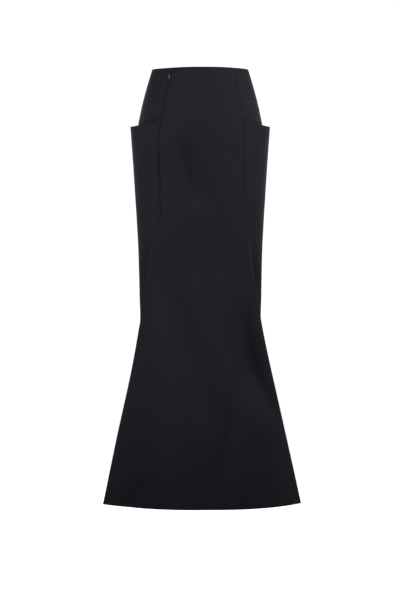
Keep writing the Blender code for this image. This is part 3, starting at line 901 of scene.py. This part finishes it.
def coil_piece(name):
    """A tube on a flat helix: seam line + COIL_WIDE * across * cos(turn) - COIL_DEEP * out * sin(turn)."""
    turns = (COIL_END - COIL_TOP) / COIL_PITCH
    turn = np.linspace(0, turns * 2 * math.pi, int(turns * COIL_TURN_POINTS))
    drop = COIL_TOP + turn / (2 * math.pi) * COIL_PITCH
    x, y = seam_point(drop, -1, -1)
    angle = panel_angle(drop, -1)
    out = np.stack((-np.sin(angle), -np.cos(angle), np.zeros(len(drop))), axis=-1)
    across = np.stack((np.cos(angle), -np.sin(angle), np.zeros(len(drop))), axis=-1)
    depth = tape_depth(drop) + seam_depth(drop, 0 * drop, "left front", False) + TAPE_THICK + COIL_DEEP
    line = hang(x, y, drop) - out * depth[:, None]
    line = line + across * (COIL_WIDE * np.cos(turn))[:, None] - out * (COIL_DEEP * np.sin(turn))[:, None]
    points = tube_points(line, COIL_WIRE, COIL_SIDES) * MM
    mesh = bpy.data.meshes.new(name)
    mesh.from_pydata(points.reshape(-1, 3).tolist(), [], ring_faces(len(line), COIL_SIDES))
    mesh.shade_smooth()
    print(name, "has", round(turns), "turns")
    return add_object(name, mesh)


zip_coil = coil_piece("zip_coil")

# %% [markdown]
# ## The suiting
#
# The cloth is a close twill of fine wool in blue-black, smooth and matt. Three things make it look like
# cloth: a sheen, because its short fibres catch light at grazing angles; the diagonal ribs of the twill,
# which are too fine to see from across a room but break up the highlights; and yarns that aren't all exactly
# one colour. A picture of cloth would repeat and blur close up, so nodes work the pattern out. It reads the
# flat-cloth UV map, so it runs with the grain of each panel.

# %% Suiting
TWILL_PITCH = 0.00062
TWILL_TURN = math.radians(27)
TWILL_RELIEF = 0.00008
YARN_PITCH = 0.00045
YARN_SQUASH = 0.08
# At a scale of 1 a wave texture has 20 / (2 pi) waves to a unit, so this scale makes it one.
WAVE_PER_UNIT = 2 * math.pi / 20
SUITING_DARK = (0.0125, 0.0134, 0.0207)
SUITING_LIGHT = (0.0185, 0.0198, 0.0287)


def new_material(name, colour, roughness, metallic=0.0):
    """A Principled material, and its nodes, links and shader."""
    material = bpy.data.materials.new(name)
    material.use_nodes = True
    nodes = material.node_tree.nodes
    links = material.node_tree.links
    shader = nodes["Principled BSDF"]
    shader.inputs["Base Color"].default_value = (*colour, 1.0)
    shader.inputs["Roughness"].default_value = roughness
    shader.inputs["Metallic"].default_value = metallic
    return material, nodes, links, shader


def flat_cloth_vector(nodes, links, pitch, turn=0.0, squash=1.0):
    """The flat-cloth coordinates, turned, and scaled so that one unit is one pitch across the cloth.

    Down the cloth a unit is pitch / squash, so a small squash draws the pattern out along the yarns.
    """
    flat = nodes.new("ShaderNodeUVMap")
    flat.uv_map = FLAT_CLOTH
    mapping = nodes.new("ShaderNodeMapping")
    mapping.inputs["Rotation"].default_value = (0, 0, turn)
    mapping.inputs["Scale"].default_value = (1 / pitch, squash / pitch, 1)
    links.new(flat.outputs["UV"], mapping.inputs["Vector"])
    return mapping.outputs["Vector"]


def add_bump(nodes, links, shader, height, strength, relief):
    """Relief from a texture's height, of relief metres at a strength of 1."""
    bump = nodes.new("ShaderNodeBump")
    bump.inputs["Strength"].default_value = strength
    bump.inputs["Distance"].default_value = relief
    links.new(height, bump.inputs["Height"])
    links.new(bump.outputs["Normal"], shader.inputs["Normal"])


def suiting_material():
    """Twill ribs as waves across the turned cloth, and yarns as noise drawn out along the cloth."""
    material, nodes, links, shader = new_material("blue_black_suiting", SUITING_DARK, roughness=0.82)
    shader.inputs["Specular IOR Level"].default_value = 0.25
    shader.inputs["Sheen Weight"].default_value = 0.06
    shader.inputs["Sheen Roughness"].default_value = 0.45
    shader.inputs["Sheen Tint"].default_value = (0.75, 0.80, 1.0, 1.0)
    twill = nodes.new("ShaderNodeTexWave")
    twill.inputs["Scale"].default_value = WAVE_PER_UNIT
    twill.inputs["Distortion"].default_value = 0.6
    twill.inputs["Detail"].default_value = 1
    links.new(flat_cloth_vector(nodes, links, TWILL_PITCH, turn=TWILL_TURN), twill.inputs["Vector"])
    yarn = nodes.new("ShaderNodeTexNoise")
    yarn.inputs["Scale"].default_value = 1.0
    yarn.inputs["Detail"].default_value = 2
    links.new(flat_cloth_vector(nodes, links, YARN_PITCH, squash=YARN_SQUASH), yarn.inputs["Vector"])
    tone = nodes.new("ShaderNodeMix")
    tone.data_type = "RGBA"
    tone.inputs["A"].default_value = (*SUITING_DARK, 1)
    tone.inputs["B"].default_value = (*SUITING_LIGHT, 1)
    links.new(yarn.outputs["Fac"], tone.inputs["Factor"])
    links.new(tone.outputs["Result"], shader.inputs["Base Color"])
    add_bump(nodes, links, shader, twill.outputs["Fac"], strength=0.35, relief=TWILL_RELIEF)
    return material


suiting = suiting_material()
print("twill ribs", TWILL_PITCH / MM, "mm apart")

# %% [markdown]
# ## Finishes of the zip
#
# The tapes are woven with ribs across them. The coil is black nylon, the slider dark enamel, and the tab a
# pale metal, which is what makes it the one bright spot on the skirt. Nothing that hands touch stays evenly
# shiny, so the roughness of these three wanders a little from patch to patch.

# %% Tape, nylon, enamel and metal
TAPE_RIB_PITCH = 0.0008
TAPE_RELIEF = 0.0001
WORN_RELIEF = 0.00003


def tape_material():
    """Ribs as waves down the tape."""
    material, nodes, links, shader = new_material("woven_tape", (0.010, 0.010, 0.012), roughness=0.85)
    shader.inputs["Sheen Weight"].default_value = 0.05
    ribs = nodes.new("ShaderNodeTexWave")
    ribs.bands_direction = "Y"
    ribs.inputs["Scale"].default_value = WAVE_PER_UNIT
    links.new(flat_cloth_vector(nodes, links, TAPE_RIB_PITCH), ribs.inputs["Vector"])
    add_bump(nodes, links, shader, ribs.outputs["Fac"], strength=0.5, relief=TAPE_RELIEF)
    return material


def worn_material(name, colour, roughness, rougher, metallic, scale):
    """Nylon, enamel or metal whose roughness wanders between two values, over patches of Object space."""
    material, nodes, links, shader = new_material(name, colour, roughness, metallic)
    place = nodes.new("ShaderNodeTexCoord")
    patches = nodes.new("ShaderNodeTexNoise")
    patches.inputs["Scale"].default_value = scale
    patches.inputs["Detail"].default_value = 4
    links.new(place.outputs["Object"], patches.inputs["Vector"])
    span = nodes.new("ShaderNodeMapRange")
    span.inputs["To Min"].default_value = roughness
    span.inputs["To Max"].default_value = rougher
    links.new(patches.outputs["Fac"], span.inputs["Value"])
    links.new(span.outputs["Result"], shader.inputs["Roughness"])
    add_bump(nodes, links, shader, patches.outputs["Fac"], strength=0.2, relief=WORN_RELIEF)
    return material


tape = tape_material()
nylon = worn_material(
    "black_nylon", (0.012, 0.012, 0.014), roughness=0.35, rougher=0.5, metallic=0.0, scale=900
)
enamel = worn_material(
    "dark_enamel", (0.020, 0.020, 0.024), roughness=0.30, rougher=0.45, metallic=0.4, scale=1400
)
pale_metal = worn_material(
    "pale_metal", (0.22, 0.22, 0.23), roughness=0.36, rougher=0.50, metallic=1.0, scale=1200
)
print("materials:", [m.name for m in bpy.data.materials])

# %% [markdown]
# ## Dressing the frame
#
# Each new piece takes its finish, rides on the skirt's body, and stands for the plain wall that it replaces.
# A table also lists what each sheet of cloth was cut from: its width and length flat, and its area.

# %% Dress the frame
FRONT_CUT = (0.62, 1.13)
FRONT_AREA = 0.398
BACK_CUT = (0.60, 1.14)
BACK_AREA = 0.369
SIDE_CUT = (0.215, 0.99)
SIDE_AREA = 0.142
YOKE_CUT = (0.26, 0.335)
YOKE_AREA = 0.068


def dress(piece, material, nodes):
    """Gives a piece its finish, the body that it rides on, and the nodes that it stands for."""
    piece.data.materials.append(material)
    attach(piece, "skirt")
    if nodes:
        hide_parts(*nodes)


cloth_pieces = (
    (front_panel_cloth, "front_panel", FRONT_CUT, FRONT_AREA),
    (back_panel_cloth, "back_panel", BACK_CUT, BACK_AREA),
    (side_panel_cloths[0], "side_panel_left", SIDE_CUT, SIDE_AREA),
    (side_panel_cloths[1], "side_panel_right", SIDE_CUT, SIDE_AREA),
    (hip_yoke_cloths[0], "hip_yoke_left", YOKE_CUT, YOKE_AREA),
    (hip_yoke_cloths[1], "hip_yoke_right", YOKE_CUT, YOKE_AREA),
)
for piece, node, cut, area in cloth_pieces:
    dress(piece, suiting, [node])
for piece in zip_tapes:
    dress(piece, tape, ["zip_tape"])
dress(zip_coil, nylon, [])
for node, material in (("zip_slider", enamel), ("zip_tab", pale_metal)):
    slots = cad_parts[node].data.materials
    slots.clear()
    slots.append(material)
print("dressed", len(cloth_pieces), "pieces of cloth")

# %% [markdown]
# ## Floor and background
#
# The photograph is a cut-out on pure white. Cloth this dark sends back two parts in a hundred, and a white
# room would light it evenly and hide its form. So the white floor and walls are seen by the camera alone, as
# in a studio where a cut-out is planned: they send no light back to the skirt.

# %% Floor and background
FLOOR_BELOW_HEM = 0.05
FLOOR_HEIGHT = -LENGTH * MM - FLOOR_BELOW_HEM
FLOOR_RINGS = 8
FLOOR_GLOW = 1.0
ROOM_RADIUS = 14.0
ROOM_SEGMENTS = 64
ROOM_RINGS = 24
ROOM_GLOW = 1.05
NEARLY_UP = math.radians(89.9)


def white_material(name, glow):
    """Matt white that glows by itself, with no shine."""
    material, _, _, shader = new_material(name, (0.8, 0.8, 0.8), roughness=1.0)
    shader.inputs["Specular IOR Level"].default_value = 0
    shader.inputs["Emission Color"].default_value = (1, 1, 1, 1)
    shader.inputs["Emission Strength"].default_value = glow
    return material


def camera_only(item):
    """The camera sees it, and no light bounces from it or is stopped by it."""
    item.visible_diffuse = False
    item.visible_glossy = False
    item.visible_transmission = False
    item.visible_volume_scatter = False
    item.visible_shadow = False


def room_piece(name, across, height, faces, material):
    """White rings round the upright axis: across * cos(turn), across * sin(turn), height."""
    turn = np.linspace(0, 2 * math.pi, ROOM_SEGMENTS, endpoint=False)[None, :]
    points = np.stack((across * np.cos(turn), across * np.sin(turn), height + 0 * turn), axis=-1)
    mesh = bpy.data.meshes.new(name)
    mesh.from_pydata(points.reshape(-1, 3).tolist(), [], faces)
    mesh.materials.append(material)
    item = add_object(name, mesh)
    camera_only(item)


def white_room():
    """A whole globe: rings of radius R * cos(angle) at heights R * sin(angle), with a face at each pole."""
    angle = np.linspace(-NEARLY_UP, NEARLY_UP, ROOM_RINGS)[:, None]
    across = ROOM_RADIUS * np.cos(angle)
    height = ROOM_RADIUS * np.sin(angle)
    faces = ring_faces(ROOM_RINGS, ROOM_SEGMENTS)
    room_piece("white_room", across, height, faces, white_material("white_wall", ROOM_GLOW))


def white_floor():
    """A flat disc of rings, the same distances across. Its outer ring, the last face, stays open."""
    angle = np.linspace(NEARLY_UP, 0, FLOOR_RINGS)[:, None]
    across = ROOM_RADIUS * np.cos(angle)
    faces = ring_faces(FLOOR_RINGS, ROOM_SEGMENTS)[:-1]
    room_piece("floor", across, FLOOR_HEIGHT + 0 * angle, faces, white_material("white_floor", FLOOR_GLOW))


white_room()
white_floor()
print("floor at", round(FLOOR_HEIGHT, 3), "m")

# %% [markdown]
# ## Sky and lamps
#
# What shows the form of cloth this dark is a very dim sky and a ring of soft lamps. A bright even sky would
# fill the hollows. The strongest lamp in front is high on the right, so that every hollow has a dark right
# wall, and one level with the hips on the left fills it in. All are near, so the light falls away towards the
# hem, and those behind light the edges and the back.

# %% Sky and lamps
SKY_STRENGTH = 0.004
SKY_COLOUR = (1.0, 1.0, 1.0)
LAMP_COLUMNS = ("name", "x", "y", "z", "width", "watts")
LAMPS = (
    ("left_front", -1.05, -0.73, -0.12, 0.6, 4.6),
    ("left_front_high", -0.76, -0.64, 0.49, 0.6, 2.3),
    ("left_knee", -0.60, -0.51, -0.49, 0.5, 0.6),
    ("right_front_high", 0.76, -0.64, 0.49, 0.6, 5.9),
    ("right_knee", 0.46, -0.65, -0.42, 0.5, 1.2),
    ("right_side", 1.44, 0.13, 0.12, 0.8, 3.6),
    ("left_side", -1.44, 0.13, 0.04, 0.8, 0.7),
    ("right_behind", 1.06, 0.89, -0.11, 0.8, 1.6),
    ("left_behind", -1.06, 0.89, -0.11, 0.8, 1.8),
    ("back_left", -0.57, 1.22, 0.30, 0.8, 7.5),
    ("back_right", 0.57, 1.22, -0.05, 0.8, 4.5),
)
LAMP_AIM = (0.0, 0.0, -0.35)

sky = bpy.data.worlds.new("sky")
sky.use_nodes = True
sky.node_tree.nodes["Background"].inputs["Color"].default_value = (*SKY_COLOUR, 1)
sky.node_tree.nodes["Background"].inputs["Strength"].default_value = SKY_STRENGTH
bpy.context.scene.world = sky
bpy.context.scene.view_settings.view_transform = "Standard"


def facing(place, target):
    """Angles of a lamp that faces a point: acos(-dz / distance), 0, and atan2(dy, dx) less a quarter turn."""
    towards = np.array(target) - np.array(place)
    tilt = math.acos(-towards[2] / np.linalg.norm(towards))
    heading = math.atan2(towards[1], towards[0]) - math.pi / 2
    return tilt, 0, heading


for row in LAMPS:
    lamp = dict(zip(LAMP_COLUMNS, row))
    light = bpy.data.lights.new(lamp["name"], "AREA")
    light.shape = "DISK"
    light.size = lamp["width"]
    light.energy = lamp["watts"]
    place = (lamp["x"], lamp["y"], lamp["z"])
    light_object = add_object(lamp["name"], light)
    light_object.location = place
    light_object.rotation_euler = facing(place, LAMP_AIM)
    light_object.visible_camera = False
print("lamps:", [row[0] for row in LAMPS])
